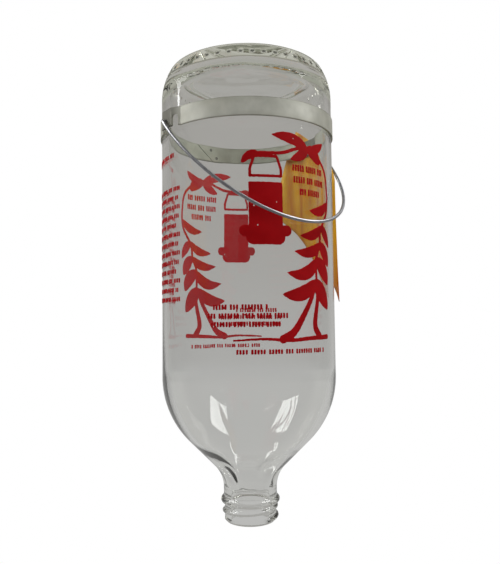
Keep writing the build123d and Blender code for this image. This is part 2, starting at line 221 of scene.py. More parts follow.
LEAVES = (  # base, tip, width, bow (how far its middle lies above the straight line from base to tip)
    ((16, 121), (-3, 114.2), 7.0, -2.7),
    ((16, 121), (27, 107.6), 8.4, 0.4),
    ((17.2, 131.2), (-0.5, 124.3), 6.4, -3.4),
    ((17.2, 131.2), (27.5, 119.5), 7.4, 1.2),
    ((20.5, 139.2), (3.7, 134.5), 5.4, -2.2),
    ((20.5, 139.2), (28.3, 128.5), 6.4, 0.8),
    ((22, 148), (7.1, 142.1), 5.0, -2.0),
    ((22, 148), (29.5, 138), 5.0, 0.5),
    ((28, 160), (13, 154.5), 5.0, -2.0),
    ((12, 184.5), (-7.4, 189), 5.5, 1.0),
    ((12, 184.5), (2, 178), 5.0, -1.0),
    ((12, 184.5), (21, 178), 6.5, 1.0),
    ((14, 184.5), (24.3, 189), 4.5, -1.0),
    ((-14, 180), (-22, 175.5), 4.0, 1.0),
)
LINES = (  # start, end, height, thickness
    (-36, -10, 108.5, 2.5),
    (-38.6, -0.5, 104.5, 2.5),
    (-37, -4, 100.6, 2.5),
    (-25, 23, 88.0, 2.2),
    (3, 23, 174.2, 3.2),
    (3.5, 24, 168.6, 3.2),
    (7, 21, 163.0, 3.2),
)
WORDS = (7.0, 3.4, 9.2, 5.1, 6.3)
WORD_GAP = 1.1
DASH = 1.0
DASH_GAP = 0.42
DASH_CORNER = 0.2
JAR_U = -10.6
JAR_HALF = 8.1
JAR_MOUTH_HALF = 6.0
JAR_BOTTOM = 139.0
JAR_FILL_TOP = 166.4
JAR_OUTLINE_BOTTOM = 168.6
JAR_SHOULDER = 172.5
JAR_TOP = 179.2
JAR_LINE_HALF = 0.65
JAR_CORNER = 0.6
DISH_HALF = 12.6
DISH_BOTTOM = 141.2
DISH_TOP = 146.3
BOWL_HALF = 9.3
BOWL_BOTTOM = 137.2
BOWL_CORNER = 3.5
SIDE_ROWS = 13
SIDE_PITCH = 4.5
SIDE_BOTTOM = 113.0
SIDE_BAR = (48.0, 2.2)  # length, thickness
SIDE_STAGGER = (0, 3, 1.5, 5, 2)  # how much shorter each end is, row by row
SIDE_HEADER = (36.0, 184.0)  # length, height

# Camera: distances in millimetres, angles in degrees
CAMERA_AZIMUTH = -34.1
CAMERA_REACH = 330.9
CAMERA_Z = 101.3
CAMERA_YAW = 0.165
CAMERA_PITCH = 3.72
CAMERA_ROLL = -0.62
CAMERA_LENS = 40.03
SENSOR = 36.0

# World, floor and lamps: distances in metres; the first three pairs are parts of a unit direction
AHEAD = (0.35, 0.80)  # from beside the bottle to behind it
BACK_RISE = (-0.12, 0.16)  # where the backdrop turns from its lower to its upper colour
OVERHEAD = (-0.02, 0.28)  # where the sides turn into the ceiling
BACK_LOW = (0.48, 0.48, 0.475, 1)
BACK_HIGH = (0.40, 0.39, 0.375, 1)
SIDE_GREY = (0.17, 0.17, 0.17, 1)
MIRRORED = (0.12, 0.12, 0.12, 1)
CEILING = (0.37, 0.37, 0.345, 1)
# The floor glows with these colours to everything but the camera, which sees it white
FLOOR_NEAR = (0.52, 0.52, 0.51, 1)
FLOOR_FRONT = (0.30, 0.30, 0.30, 1)
FLOOR_Z = -0.25
FLOOR_R = 3.0
FLOOR_NEAR_R = 0.4  # the near colour reaches this far
FLOOR_TURN = (-0.12, 0.18)  # distances past the bottle over which the front colour ends
LIGHT_REACH = 1.3
LIGHT_AIM = Vector((0, 0, 0.1))
LAMPS = {  # side of the camera, rise, width, height, roll, power
    "right_box": (84, 47, 0.72, 0.60, 33, 12.9),
    "left_box": (-97, 42.5, 0.68, 0.69, 38.5, 13.8),
    "front_fill": (-12, 30, 0.9, 0.9, 0, 8),
}


# ------------------------------------------------------------------ meshes
def mesh_piece(name, points, faces, body, node):
    """Adds a mesh given in millimetres, which replaces a CAD node and rides on its body."""
    mesh = bpy.data.meshes.new(name)
    mesh.from_pydata([(x * MM, y * MM, z * MM) for x, y, z in points], [], faces)
    mesh.validate()
    mesh.polygons.foreach_set("use_smooth", [True] * len(mesh.polygons))
    mesh.update()
    piece = bpy.data.objects.new(name, mesh)
    bpy.context.scene.collection.objects.link(piece)
    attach(piece, body)
    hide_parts(node)
    return piece


class Pen:
    """Draws a path of points from its position and heading, in steps of even size."""

    def __init__(self, x, y, heading, step):
        self.points = [(x, y)]
        self.heading = radians(heading)
        self.step = step

    def line(self, length):
        """Draws straight ahead."""
        x, y = self.points[-1]
        count = max(1, round(length / self.step))
        for i in range(1, count + 1):
            part = length * i / count
            self.points.append((x + part * cos(self.heading), y + part * sin(self.heading)))
        return self

    def arc(self, radius, turn):
        """Turns left by a positive angle in degrees and right by a negative one."""
        x, y = self.points[-1]
        side = 1 if turn > 0 else -1
        centre_x = x - side * radius * sin(self.heading)
        centre_y = y + side * radius * cos(self.heading)
        count = max(4, round(radius * radians(abs(turn)) / self.step))
        for i in range(1, count + 1):
            heading = self.heading + radians(turn) * i / count
            across, along = side * radius * sin(heading), side * radius * cos(heading)
            self.points.append((centre_x + across, centre_y - along))
        self.heading += radians(turn)
        return self


def cone_length(body_r, neck_r, crown_r, turn, blend_r):
    """Length of the straight cone between a shoulder's crown and its neck blend."""
    return (body_r - neck_r - (crown_r + blend_r) * (1 - cos(radians(turn)))) / sin(radians(turn))


def shoulder_height(body_r, neck_r, crown_r, turn, blend_r):
    """Height from the foot of a shoulder's neck blend to the top of its crown."""
    cone = cone_length(body_r, neck_r, crown_r, turn, blend_r)
    return (crown_r + blend_r) * sin(radians(turn)) + cone * cos(radians(turn))


def draw_shoulder(pen, body_r, neck_r, crown_r, turn, blend_r):
    """Draws neck blend, cone and crown upwards from the neck."""
    pen.arc(blend_r, -turn)
    pen.line(cone_length(body_r, neck_r, crown_r, turn, blend_r))
    pen.arc(crown_r, turn)


def to_axis(pen):
    """Closes a base on the axis with a shallow dome."""
    pen.arc(pen.points[-1][0] / sin(radians(DOME_TURN)), -DOME_TURN)
    pen.points[-1] = (0.0, pen.points[-1][1])


def neck_radius(z):
    """Outer radius of the plain neck with its bead, without the thread."""
    step = 1 / (1 + exp(-(z - BEAD_Z) / LIP_SOFT))
    plain = LIP_R + (NECK_R - LIP_R) * step
    off = abs(z - BEAD_Z) / BEAD_TUBE_R
    bead = BEAD_R - BEAD_TUBE_R + BEAD_TUBE_R * sqrt(max(0.0, 1 - off * off))
    return BEAD_SOFT * np.logaddexp(plain / BEAD_SOFT, bead / BEAD_SOFT)


def heel_rise():
    """Height of the whole heel, from where the body ends to the standing ring."""
    turn = radians(HEEL_SOFT[1])
    return HEEL_SOFT[0] * sin(turn) + HEEL_TIGHT[0] * (1 - sin(turn))


def outer_profile():
    """Outside of the glass from the rim up, over the heel and in to the axis."""
    pen = Pen(LIP_R - LIP_ROUND, 0.0, 0.0, 0.3)
    pen.arc(LIP_ROUND, 90)
    shape = (BODY_R, NECK_R, SHOULDER_R, SHOULDER_TURN, NECK_BLEND_R)
    foot = SHOULDER_Z - shoulder_height(*shape)
    for z in np.arange(LIP_ROUND + 0.2, foot, 0.22):
        pen.points.append((neck_radius(z), z))
    pen.points.append((NECK_R, foot))
    pen.step = 1.5
    draw_shoulder(pen, *shape)
    pen.step = 2.5
    pen.line(HEIGHT - heel_rise() - SHOULDER_Z)
    pen.step = 0.4
    pen.arc(*HEEL_SOFT)
    pen.arc(*HEEL_TIGHT)
    pen.step = 0.25
    pen.line(LAND_WIDTH)
    pen.arc(*PUSH_UP)
    pen.line(PUSH_UP_SLOPE)
    pen.arc(PUSH_UP[0], DOME_TURN - PUSH_UP[1])
    pen.step = 1.0
    to_axis(pen)
    return pen.points


def inner_profile():
    """Inside of the glass from the rim up and in to the axis."""
    pen = Pen(BORE_R + LIP_ROUND, 0.0, 180.0, 0.3)
    pen.arc(LIP_ROUND, -90)
    shape = (BODY_R - WALL, BORE_R, INNER_SHOULDER_R, INNER_SHOULDER_TURN, INNER_BLEND_R)
    pen.step = 1.0
    pen.line(INNER_SHOULDER_Z - shoulder_height(*shape) - LIP_ROUND)
    pen.step = 1.5
    draw_shoulder(pen, *shape)
    pen.step = 2.5
    pen.line(HEIGHT - BASE_GLASS - INNER_HEEL_R - INNER_SHOULDER_Z)
    pen.step = 0.6
    pen.arc(INNER_HEEL_R, 90)
    pen.arc(*INNER_RING)
    pen.arc(INNER_RING[0], DOME_TURN - INNER_RING[1])
    to_axis(pen)
    return pen.points


def thread_rise(azimuth, z):
    """Height of the thread's ridge above the neck at an azimuth (radians, about +X) and a height."""
    best = 0.0
    for lap in (0, 1):
        angle = (degrees(azimuth) - THREAD_START) % 360 + 360 * lap
        if angle > THREAD_SWEEP:
            continue
        fade = min(angle, THREAD_SWEEP - angle, THREAD_FADE) / THREAD_FADE
        off = (z - THREAD_START_Z - THREAD_PITCH * angle / 360) / THREAD_HALF_W
        if abs(off) < 1:
            best = max(best, THREAD_HEIGHT * (1 - (1 - fade) ** 2) * (1 - off * off) ** THREAD_FULLNESS)
    return best


def wavy(x, y, z, scale):
    """Smooth noise at a place, the same on every run."""
    return noise.noise(Vector((x, y, z)) / scale)


def dimple(r, azimuth, z):
    """Depth of the nearest heel dimple at a place on the soft heel."""
    up = HEEL_SOFT[0] * (atan2(z - (HEIGHT - heel_rise()), r - BODY_R + HEEL_SOFT[0]) - radians(DIMPLE_TURN))
    spacing = tau / DIMPLES
    sideways = r * ((azimuth + spacing / 2) % spacing - spacing / 2)
    off = hypot(up, sideways) / DIMPLE_HALF
    return DIMPLE_DEPTH * (1 - off * off) ** 2 if off < 1 else 0.0


def outside(r, azimuth, z):
    """Moves a point of the outside: thread, heel dimples and slight waviness."""
    if 0 < z < BEAD_Z:
        r += thread_rise(azimuth, z)
    deepest, least = DIMPLE_ZONE
    if HEIGHT - deepest < z < HEIGHT - least:
        r -= dimple(r, azimuth, z)
    if SHOULDER_Z < z < HEIGHT - OUTSIDE_TOP:
        x, y = r * cos(azimuth), r * sin(azimuth)
        r -= OUTSIDE_UNEVEN * (1 + wavy(x, y, z * OUTSIDE_STRETCH, OUTSIDE_UNEVEN_SCALE))
    return r, z


def inside(r, azimuth, z):
    """Moves a point of the inside: the wall of a blown bottle is never even."""
    x, y = r * cos(azimuth), r * sin(azimuth)
    reach = min(1.0, max(0.0, (z - EVEN_BELOW) / EVEN_FADE)) * min(1.0, r / EVEN_CENTRE)
    uneven = UNEVEN * wavy(x, y, z * UNEVEN_STRETCH, UNEVEN_SCALE)
    r += reach * (OVAL * sin(2 * azimuth + OVAL_PHASE) + uneven)
    low, high = NECK_FLUTES
    if low < z < high:
        swell = sin(pi * (z - low) / (high - low))
        flutes = sum(share * sin(count * azimuth + phase) for count, phase, share in FLUTES)
        r += FLUTE_DEPTH * swell * flutes
    if z > HEIGHT - BASE_REACH:
        z += BASE_UNEVEN * wavy(x, y, BASE_SLICE, BASE_UNEVEN_SCALE)
    return r, z


def glass_bottle():
    """Inner and outer walls of the bottle as one closed, turned surface."""
    rings = [(r, z, outside) for r, z in reversed(outer_profile())]
    rings += [(r, z, inside) for r, z in inner_profile()]
    points, faces, starts = [], [], []
    for r, z, move in rings:
        starts.append(len(points))
        if r < 1e-6:
            points.append((0.0, 0.0, z))
            continue
        for i in range(LATHE_STEPS):
            azimuth = tau * i / LATHE_STEPS
            moved_r, moved_z = move(r, azimuth, z)
            points.append((moved_r * cos(azimuth), moved_r * sin(azimuth), moved_z))
    for start, after in zip(starts, starts[1:]):
        single, next_single = start == 0, after == len(points) - 1
        for i in range(LATHE_STEPS):
            j = (i + 1) % LATHE_STEPS
            if single:
                faces.append((start, after + i, after + j))
            elif next_single:
                faces.append((start + j, start + i, after))
            else:
                faces.append((start + j, start + i, after + i, after + j))
    return mesh_piece("bottle_glass", points, faces, "bottle", "glass_bottle")


# ------------------------------------------------------------------ bail
def tube(path, across, radius, sides=20):
    """Points and faces of a round bar along a plane path; across is the plane's normal."""
    points, faces = [], []
    count = len(path)
    for i, place in enumerate(path):
        along = (path[min(i + 1, count - 1)] - path[max(i - 1, 0)]).normalized()
        up = along.cross(across).normalized()
        for j in range(sides):
            angle = tau * j / sides
            points.append(place + radius * (cos(angle) * up + sin(angle) * across))
    for i in range(count - 1):
        for j in range(sides):
            k = (j + 1) % sides
            faces.append((i * sides + j, i * sides + k, (i + 1) * sides + k, (i + 1) * sides + j))
    faces.append(tuple(range(sides))[::-1])
    faces.append(tuple((count - 1) * sides + j for j in range(sides)))
    return points, faces


def wire_bail():
    """The drawn wire: a half ellipse whose ends bend in through the ears and back along the glass."""
    tail_x = BODY_R + EAR_POCKET / 2
    half = Pen(tail_x, TAIL_LENGTH, -90.0, 0.2)
    half.line(TAIL_LENGTH - BEND_R)
    half.arc(BEND_R, 90)
    half.line(ARM_X - tail_x - 2 * BEND_R)
    half.arc(BEND_R, 90)
    plan = half.points
    steps = 140
    angles = [pi * i / steps for i in range(1, steps)]
    sweep = [(ARM_X * cos(angle), BEND_R + (BAIL_DROP - BEND_R) * sin(angle)) for angle in angles]
    plan = plan + sweep + [(-x, y) for x, y in reversed(plan)]
    swung = radians(BAIL_ANGLE)
    down = Vector((0, -sin(swung), -cos(swung)))
    across = Vector((0, cos(swung), -sin(swung)))
    path = [Vector((x, 0, PIVOT_Z)) + y * down for x, y in plan]
    points, faces = tube(path, across, WIRE_R)
    return mesh_piece("bail_wire", points, faces, "bail", "wire_bail")


# ------------------------------------------------------------------ tag
def through(start, middle, end, step):
    """Points of the arc through three places, without its end."""
    (ax, ay), (bx, by), (cx, cy) = start, middle, end
    d = 2 * (ax * (by - cy) + bx * (cy - ay) + cx * (ay - by))
    a, b, c = ax * ax + ay * ay, bx * bx + by * by, cx * cx + cy * cy
    centre_x = (a * (by - cy) + b * (cy - ay) + c * (ay - by)) / d
    centre_y = (a * (cx - bx) + b * (ax - cx) + c * (bx - ax)) / d
    centre = Vector((centre_x, centre_y))
    first, last = Vector(start) - centre, Vector(end) - centre
    turn = first.angle_signed(last)
    count = round(first.length * abs(turn) / step)
    return [tuple(centre + Matrix.Rotation(-turn * i / count, 2) @ first) for i in range(count)]


def tag_outline():
    """Flat mesh of the tag: places, triangles and the loops round its edge and its hole."""
    edge = [place for arc in TAG_ARCS for place in through(*arc, TAG_EDGE_STEP)]
    turns = [tau * i / TAG_HOLE_SIDES for i in range(TAG_HOLE_SIDES)]
    hole = [(TAG_HOLE_R * cos(turn), PIVOT_Z + TAG_HOLE_R * sin(turn)) for turn in turns]
    low_y, high_y = min(y for y, z in edge), max(y for y, z in edge)
    low_z, high_z = min(z for y, z in edge), max(z for y, z in edge)
    inner = []
    for z in np.arange(low_z, high_z, TAG_GRID):
        for y in np.arange(low_y, high_y, TAG_GRID):
            near_edge = min(hypot(y - a, z - b) for a, b in edge)
            if near_edge > TAG_GRID / 2 and hypot(y, z - PIVOT_Z) > TAG_HOLE_R + TAG_GRID / 2:
                inner.append((y, z))
    loops = [list(range(len(edge))), list(range(len(edge), len(edge) + TAG_HOLE_SIDES))]
    lines = [(a, b) for loop in loops for a, b in zip(loop, loop[1:] + loop[:1])]
    places = [Vector(place) for place in edge + hole + inner]
    verts, _, triangles, _, _, _ = delaunay_2d_cdt(places, lines, [loops[0]], 1, 1e-6)
    kept = []
    for triangle in triangles:
        middle = sum((verts[i] for i in triangle), Vector((0, 0))) / 3
        if (middle - Vector((0, PIVOT_Z))).length > TAG_HOLE_R * 0.99:
            kept.append(tuple(triangle))
    return [tuple(v) for v in verts], kept


def hang_tag():
    """The card: a thin sheet curved round the bottle, a little warped below the ear."""
    flat, triangles = tag_outline()
    centre_x = TAG_OUTER_X - TAG_T - TAG_BEND_R
    points = []
    for r in (TAG_BEND_R + TAG_T, TAG_BEND_R):
        for y, z in flat:
            below = max(0.0, (TAG_FLAT_ABOVE - z) / TAG_WARP_FADE)
            cup = TAG_CUP * (y / TAG_CUP_HALF) ** 2
            ripple = TAG_RIPPLE * wavy(y, z, TAG_RIPPLE_SLICE, TAG_RIPPLE_SCALE)
            warp = below * (cup + ripple + TAG_LEAN)
            points.append((centre_x + sqrt(r * r - y * y) - TAG_WARP * min(1.0, warp), y, z))
    count = len(flat)
    faces = list(triangles) + [tuple(count + i for i in reversed(face)) for face in triangles]
    edges = {(a, b) for face in triangles for a, b in zip(face, face[1:] + face[:1])}
    faces += [(b, a, count + a, count + b) for a, b in sorted(edges) if (b, a) not in edges]
    return mesh_piece("tag_sheet", points, faces, "tag", "hang_tag")


# ------------------------------------------------------------------ print
class Art:
    """A flat drawing kept as a distance field on a grid: negative where there is ink."""

    def __init__(self, low, high):
        self.us = np.arange(low[0], high[0], ART_STEP)
        self.zs = np.arange(low[1], high[1], ART_STEP)
        self.field = np.full((len(self.us), len(self.zs)), NO_INK)

    def window(self, low_u, high_u, low_z, high_z):
        """Slices of the grid that hold a box and a margin round it."""
        first_u, last_u = np.searchsorted(self.us, (low_u - ART_MARGIN, high_u + ART_MARGIN))
        first_z, last_z = np.searchsorted(self.zs, (low_z - ART_MARGIN, high_z + ART_MARGIN))
        return slice(first_u, last_u), slice(first_z, last_z)

    def stroke(self, points, halves):
        """Inks a line through points whose half width is given at each point."""
        for (u0, z0), (u1, z1), h0, h1 in zip(points, points[1:], halves, halves[1:]):
            wide = max(h0, h1)
            box = (min(u0, u1) - wide, max(u0, u1) + wide, min(z0, z1) - wide, max(z0, z1) + wide)
            at = self.window(*box)
            u, z = np.meshgrid(self.us[at[0]], self.zs[at[1]], indexing="ij")
            du, dz = u1 - u0, z1 - z0
            t = np.clip(((u - u0) * du + (z - z0) * dz) / (du * du + dz * dz), 0, 1)
            away = np.hypot(u - u0 - t * du, z - z0 - t * dz) - (h0 + t * (h1 - h0))
            self.field[at] = np.minimum(self.field[at], away)

    def block(self, low_u, high_u, low_z, high_z, corner):
        """Inks a rectangle with round corners."""
        at = self.window(low_u, high_u, low_z, high_z)
        u, z = np.meshgrid(self.us[at[0]], self.zs[at[1]], indexing="ij")
        off_u = np.abs(u - (low_u + high_u) / 2) - (high_u - low_u) / 2 + corner
        off_z = np.abs(z - (low_z + high_z) / 2) - (high_z - low_z) / 2 + corner
        away = np.hypot(np.maximum(off_u, 0), np.maximum(off_z, 0)) + np.minimum(np.maximum(off_u, off_z), 0)
        self.field[at] = np.minimum(self.field[at], away - corner)

    def wear(self, seed):
        """Roughens the edges and leaves a few pinholes, as screen printing does."""
        depth, fineness = WEAR
        speck_fineness, level, steepness = SPECKS
        for i, u in enumerate(self.us):
            for j, z in enumerate(self.zs):
                if self.field[i, j] < WEAR_REACH:
                    self.field[i, j] += depth * noise.noise(Vector((u, z, seed)) * fineness)
                    speck = noise.noise(Vector((u, z, seed + SPECK_SHIFT)) * speck_fineness)
                    self.field[i, j] = max(self.field[i, j], steepness * (speck - level))

    def outline(self):
        """Points (u, z) and faces of the inked area, with its edge placed between grid points."""
        points, faces, known = [], [], {}

        def corner(i, j):
            """Number of the point at a grid place that has ink."""
            key = (i, j)
            if key not in known:
                known[key] = len(points)
                points.append((self.us[i], self.zs[j]))
            return known[key]

        def crossing(a, b):
            """Number of the point where the ink's edge crosses between two grid places."""
            key = (min(a, b), max(a, b))
            if key not in known:
                known[key] = len(points)
                va, vb = self.field[a], self.field[b]
                t = min(0.95, max(0.05, va / (va - vb)))
                u = self.us[a[0]] + t * (self.us[b[0]] - self.us[a[0]])
                z = self.zs[a[1]] + t * (self.zs[b[1]] - self.zs[a[1]])
                points.append((u, z))
            return known[key]

        ink = self.field < 0
        some = ink[:-1, :-1] | ink[1:, :-1] | ink[1:, 1:] | ink[:-1, 1:]
        for i, j in zip(*np.nonzero(some)):
            i, j = int(i), int(j)
            around = [(i, j), (i + 1, j), (i + 1, j + 1), (i, j + 1)]
            face = []
            for a, b in zip(around, around[1:] + around[:1]):
                if ink[a]:
                    face.append(corner(*a))
                if ink[a] != ink[b]:
                    face.append(crossing(a, b))
            faces.append(tuple(face))
        return points, faces


def along(places, step=1.0):
    """A smooth line through places (Catmull-Rom), as points about a step apart."""
    places = [Vector(place) for place in places]
    ends = [2 * places[0] - places[1]] + places + [2 * places[-1] - places[-2]]
    line = []
    for before, start, end, after in zip(ends, ends[1:], ends[2:], ends[3:]):
        count = max(2, round((end - start).length / step))
        for i in range(count):
            t = i / count
            line.append(
                0.5 * (2 * start + (end - before) * t + (2 * before - 5 * start + 4 * end - after) * t**2
                + (3 * start - before - 3 * end + after) * t**3)
            )
    return [tuple(point) for point in line + [places[-1]]]


def draw_leaf(art, base, tip, width, bow):
    """A pointed leaf whose middle bows to one side."""
    base, tip = Vector(base), Vector(tip)
    run = tip - base
    up = Vector((-run.y, run.x)) if run.x > 0 else Vector((run.y, -run.x))
    up.normalize()
    line = along([base] + [base + part * run + bow * up for part in LEAF_BOWS] + [tip])
    last = len(line) - 1
    middles = [width / 2 * sin(pi * (i / last) ** LEAF_LEAD) ** LEAF_FULLNESS for i in range(1, last)]
    halves = [LEAF_POINT] + middles + [LEAF_POINT]
    art.stroke(line, halves)


def draw_words(art, start, end, z, thickness, first=0):
    """A row of plain dashes grouped like words, where a line of small print stands."""
    u, count = start, first
    while u < end - DASH:
        stop = min(end, u + WORDS[count % len(WORDS)])
        while u < stop - DASH / 2:
            art.block(u, u + DASH, z - thickness / 2, z + thickness / 2, DASH_CORNER)
            u += DASH + DASH_GAP
        u += WORD_GAP
        count += 1


def draw_jar(art):
    """A plain jar on a shallow dish: solid up to its fill line, outlined above it."""
    half = JAR_HALF - JAR_LINE_HALF
    left, right = JAR_U - half, JAR_U + half
    top = JAR_TOP - JAR_LINE_HALF
    bottom = JAR_OUTLINE_BOTTOM + JAR_LINE_HALF
    mouth_half = JAR_MOUTH_HALF - JAR_LINE_HALF
    mouth_left, mouth_right = JAR_U - mouth_half, JAR_U + mouth_half
    outline = [(left, bottom), (left, JAR_SHOULDER), (mouth_left, top), (mouth_right, top)]
    outline += [(right, JAR_SHOULDER), (right, bottom), (left, bottom)]
    art.stroke(outline, [JAR_LINE_HALF] * len(outline))
    art.block(JAR_U - JAR_HALF, JAR_U + JAR_HALF, JAR_BOTTOM, JAR_FILL_TOP, JAR_CORNER)
    rim = (DISH_TOP - DISH_BOTTOM) / 2
    art.block(JAR_U - DISH_HALF, JAR_U + DISH_HALF, DISH_BOTTOM, DISH_TOP, rim)
    art.block(JAR_U - BOWL_HALF, JAR_U + BOWL_HALF, BOWL_BOTTOM, DISH_TOP, BOWL_CORNER)


def draw_panel():
    """A whole panel: a leafy stem, a jar on a dish and rows of dashes."""
    art = Art(*PANEL_BOX)
    for places, first, last in STROKES:
        line = along(places)
        art.stroke(line, list(np.linspace(first, last, len(line))))
    for each in LEAVES:
        draw_leaf(art, *each)
    draw_jar(art)
    for count, line in enumerate(LINES):
        draw_words(art, *line, first=count)
    return art


def on_glass(name, art, azimuth, node):
    """Wraps a drawing round the glass as a thin closed layer of enamel."""
    flat, flat_faces = art.outline()
    points = []
    for r in (BODY_R + PRINT_GAP + PRINT_T, BODY_R + PRINT_GAP):
        for u, z in flat:
            angle = radians(azimuth) + u / BODY_R
            points.append((r * sin(angle), -r * cos(angle), z))
    below = len(flat)
    faces = list(flat_faces)
    faces += [tuple(below + i for i in reversed(face)) for face in flat_faces]
    edges = dict.fromkeys((a, b) for face in flat_faces for a, b in zip(face, face[1:] + face[:1]))
    faces += [(b, a, below + a, below + b) for a, b in edges if (b, a) not in edges]
    return mesh_piece(name, points, faces, "bottle", node)


def prints():
    """The front, back and side panels."""
    pieces = []
    for name, azimuth, seed in (("front", FRONT_AZIMUTH, FRONT_SEED), ("back", BACK_AZIMUTH, BACK_SEED)):
        art = draw_panel()
        art.wear(seed)
        pieces.append(on_glass(name + "_enamel", art, azimuth, name + "_print"))
    side = Art(*SIDE_BOX)
    for row in range(SIDE_ROWS):
        half = SIDE_BAR[0] / 2 - SIDE_STAGGER[row % len(SIDE_STAGGER)]
        draw_words(side, -half, half, SIDE_BOTTOM + row * SIDE_PITCH, SIDE_BAR[1], first=row)
    draw_words(side, -SIDE_HEADER[0] / 2, SIDE_HEADER[0] / 2, SIDE_HEADER[1], SIDE_BAR[1])
    side.wear(SIDE_SEED)
    pieces.append(on_glass("side_enamel", side, SIDE_AZIMUTH, "side_print"))
    return pieces


# ------------------------------------------------------------------ materials
def material(name):
    """A new node material: returns it with its tree and its Principled shader."""
    made = bpy.data.materials.new(name)
    made.use_nodes = True
    tree = made.node_tree
    shader = tree.nodes["Principled BSDF"]
    return made, tree, shader


def node(tree, kind, inputs=None, **settings):
    """Adds a shader node, with its settings and its unlinked inputs."""
    added = tree.nodes.new(kind)
    for key, value in settings.items():
        setattr(added, key, value)
    for key, value in (inputs or {}).items():
        added.inputs[key].default_value = value
    return added


def span(ends):
    """Settings of a Map Range node that reads from the first value to the second."""
    low, high = ends
    return {"From Min": low, "From Max": high}


def join(tree, source, output, target, socket):
    """Links one node's output to another's input."""
    tree.links.new(source.outputs[output], target.inputs[socket])


def fill_ramp(ramp, stops):
    """Sets a colour ramp's stops, each (position, colour)."""
    elements = ramp.color_ramp.elements
    while len(elements) < len(stops):
        elements.new(0.5)
    for element, (position, colour) in zip(elements, stops):
        element.position = position
        element.color = (*colour, 1.0)


def noise_ramp(tree, scale, stops, stretch=(1, 1, 1), detail=4.0):
    """Object-space noise through a colour ramp; stops are (position, colour)."""
    place = node(tree, "ShaderNodeTexCoord")
    mapping = node(tree, "ShaderNodeMapping", {"Scale": stretch})
    grain = node(tree, "ShaderNodeTexNoise", {"Scale": scale, "Detail": detail})
    ramp = node(tree, "ShaderNodeValToRGB")
    join(tree, place, "Object", mapping, "Vector")
    join(tree, mapping, "Vector", grain, "Vector")
    join(tree, grain, "Fac", ramp, "Fac")
    fill_ramp(ramp, stops)
    return ramp, grain


def bump(tree, shader, source, output, strength, distance):
    """Adds a bump from a height output to a shader."""
    relief = node(tree, "ShaderNodeBump", {"Strength": strength, "Distance": distance})
    join(tree, source, output, relief, "Height")
    join(tree, relief, "Normal", shader, "Normal")


def glass():
    """Near-colourless glass, helped where path tracing alone leaves black or white patches.

    Rays reflected into the open, shadows, and rays long trapped above the shoulder go straight on. The
    heel does not mirror lamps to the camera, and its dimples get painted shade, a dark see-through tint.
    """
    made, tree, shader = material("clear_glass")
    shader.inputs["Base Color"].default_value = (0.985, 0.985, 0.98, 1)
    shader.inputs["Transmission Weight"].default_value = 1.0
    shader.inputs["Roughness"].default_value = 0.0
    shader.inputs["IOR"].default_value = GLASS_IOR
    path = node(tree, "ShaderNodeLightPath")
    split = node(tree, "ShaderNodeSeparateXYZ")
    join(tree, node(tree, "ShaderNodeTexCoord"), "Object", split, 0)
    near_heel = product(tree, rises(tree, split, HEEL_FADE), (path, "Is Camera Ray"))
    plain = node(tree, "ShaderNodeBsdfRefraction", {"Roughness": 0.0, "IOR": GLASS_IOR})
    # Dark see-through tint: the painted shade in the heel dimples
    dull = node(tree, "ShaderNodeBsdfTransparent", {"Color": (0.18, 0.18, 0.16, 1)})
    # Where the painted shade falls in the heel dimples, for camera rays only
    dimple_shade_and_card_tone = product(tree, dimple_shade_mask(tree, split), (path, "Is Camera Ray"))
    lost = node(tree, "ShaderNodeMath", {1: MOST_BOUNCES}, operation="GREATER_THAN")
    join(tree, path, "Ray Depth", lost, 0)
    trapped = product(tree, rises(tree, split, RELEASE_FADE, RELEASE_BELOW), (lost, "Value"))
    weak = node(tree, "ShaderNodeBsdfTransparent", {"Color": (0.74, 0.74, 0.71, 1)})
    clear = node(tree, "ShaderNodeBsdfTransparent", {"Color": (0.93, 0.94, 0.93, 1)})
    unmirrored = blended(tree, near_heel, shader, plain)
    dimples_shaded = blended(tree, dimple_shade_and_card_tone, unmirrored, dull)
    freed = blended(tree, trapped, dimples_shaded, weak)
    last = blended(tree, passes_straight(tree, path), freed, clear)
    join(tree, last, 0, tree.nodes["Material Output"], "Surface")
    body = node(tree, "ShaderNodeVolumeAbsorption", {"Color": (0.85, 0.90, 0.20, 1), "Density": 2.0})
    join(tree, body, "Volume", tree.nodes["Material Output"], "Volume")
    return made


def rises(tree, split, heights, least=0.0):
    """Rises from the least value to 1 between two heights in millimetres."""
    low, high = heights
    spread = node(tree, "ShaderNodeMapRange", {"From Min": low * MM, "From Max": high * MM, "To Min": least})
    join(tree, split, "Z", spread, "Value")
    return spread, "Result"


def product(tree, first, second):
    """Product of two outputs, each given as (node, output name)."""
    result = node(tree, "ShaderNodeMath", operation="MULTIPLY", use_clamp=True)
    join(tree, *first, result, 0)
    join(tree, *second, result, 1)
    return result, "Value"


def blended(tree, factor, first, second):
    """Mix of two shaders by a factor given as (node, output name)."""
    mix = node(tree, "ShaderNodeMixShader")
    join(tree, *factor, mix, "Fac")
    join(tree, first, 0, mix, 1)
    join(tree, second, 0, mix, 2)
    return mix


def passes_straight(tree, path):
    """1 for shadow and diffuse rays, and for rays that a wall has reflected into the open."""
    geometry = node(tree, "ShaderNodeNewGeometry")
    front = node(tree, "ShaderNodeMath", {0: 1.0}, operation="SUBTRACT")
    entered = node(tree, "ShaderNodeMath", operation="MAXIMUM")
    join(tree, geometry, "Backfacing", front, 1)
    join(tree, front, "Value", entered, 0)
    join(tree, path, "Transparent Depth", entered, 1)
    mirrored = product(tree, (path, "Is Reflection Ray"), (entered, "Value"))
    shade = node(tree, "ShaderNodeMath", operation="MAXIMUM")
    either = node(tree, "ShaderNodeMath", operation="MAXIMUM")
    join(tree, path, "Is Shadow Ray", shade, 0)
    join(tree, path, "Is Diffuse Ray", shade, 1)
    join(tree, shade, "Value", either, 0)
    join(tree, *mirrored, either, 1)
    return either, "Value"


